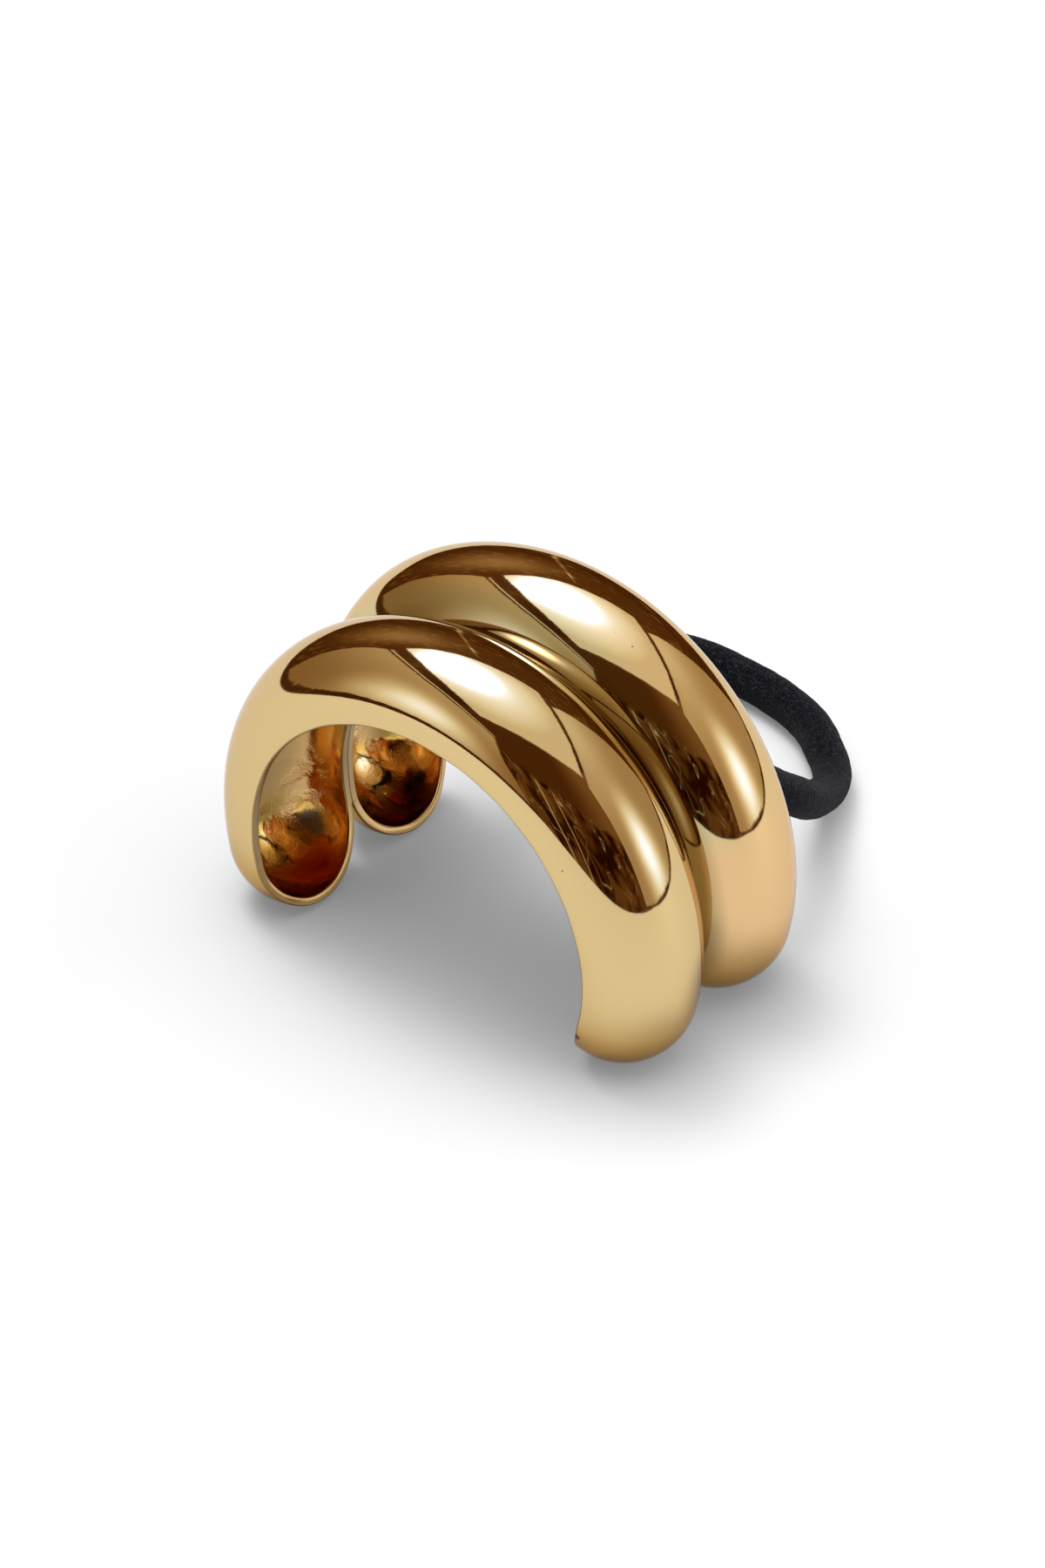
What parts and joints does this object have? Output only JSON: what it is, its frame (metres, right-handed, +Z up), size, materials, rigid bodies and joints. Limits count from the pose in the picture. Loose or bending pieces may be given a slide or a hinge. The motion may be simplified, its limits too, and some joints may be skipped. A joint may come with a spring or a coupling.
{
  "type": "ponytail cuff",
  "caption": "Open C-shaped ponytail cuff: two hollow half-round ribs side by side with round ends, open towards the hair, on a ring of hair elastic threaded over a bar inside.",
  "frame": {"origin": "middle of the cuff's bounding box, on the surface that its round ends stand on", "axes": "+X from end to end of the arch, +Y along the ponytail towards the rear rib that holds the elastic, +Z up over the arch"},
  "size_m": [0.054, 0.0608, 0.0383],
  "materials": {
    "gold": "polished gold plate, satin on the cast inside",
    "elastic": "knitted cover over a rubber core, soft and fuzzy"
  },
  "bodies": {
    "root": {"cuff": "gold", "hair_elastic": "elastic"}
  },
  "joints": []
}
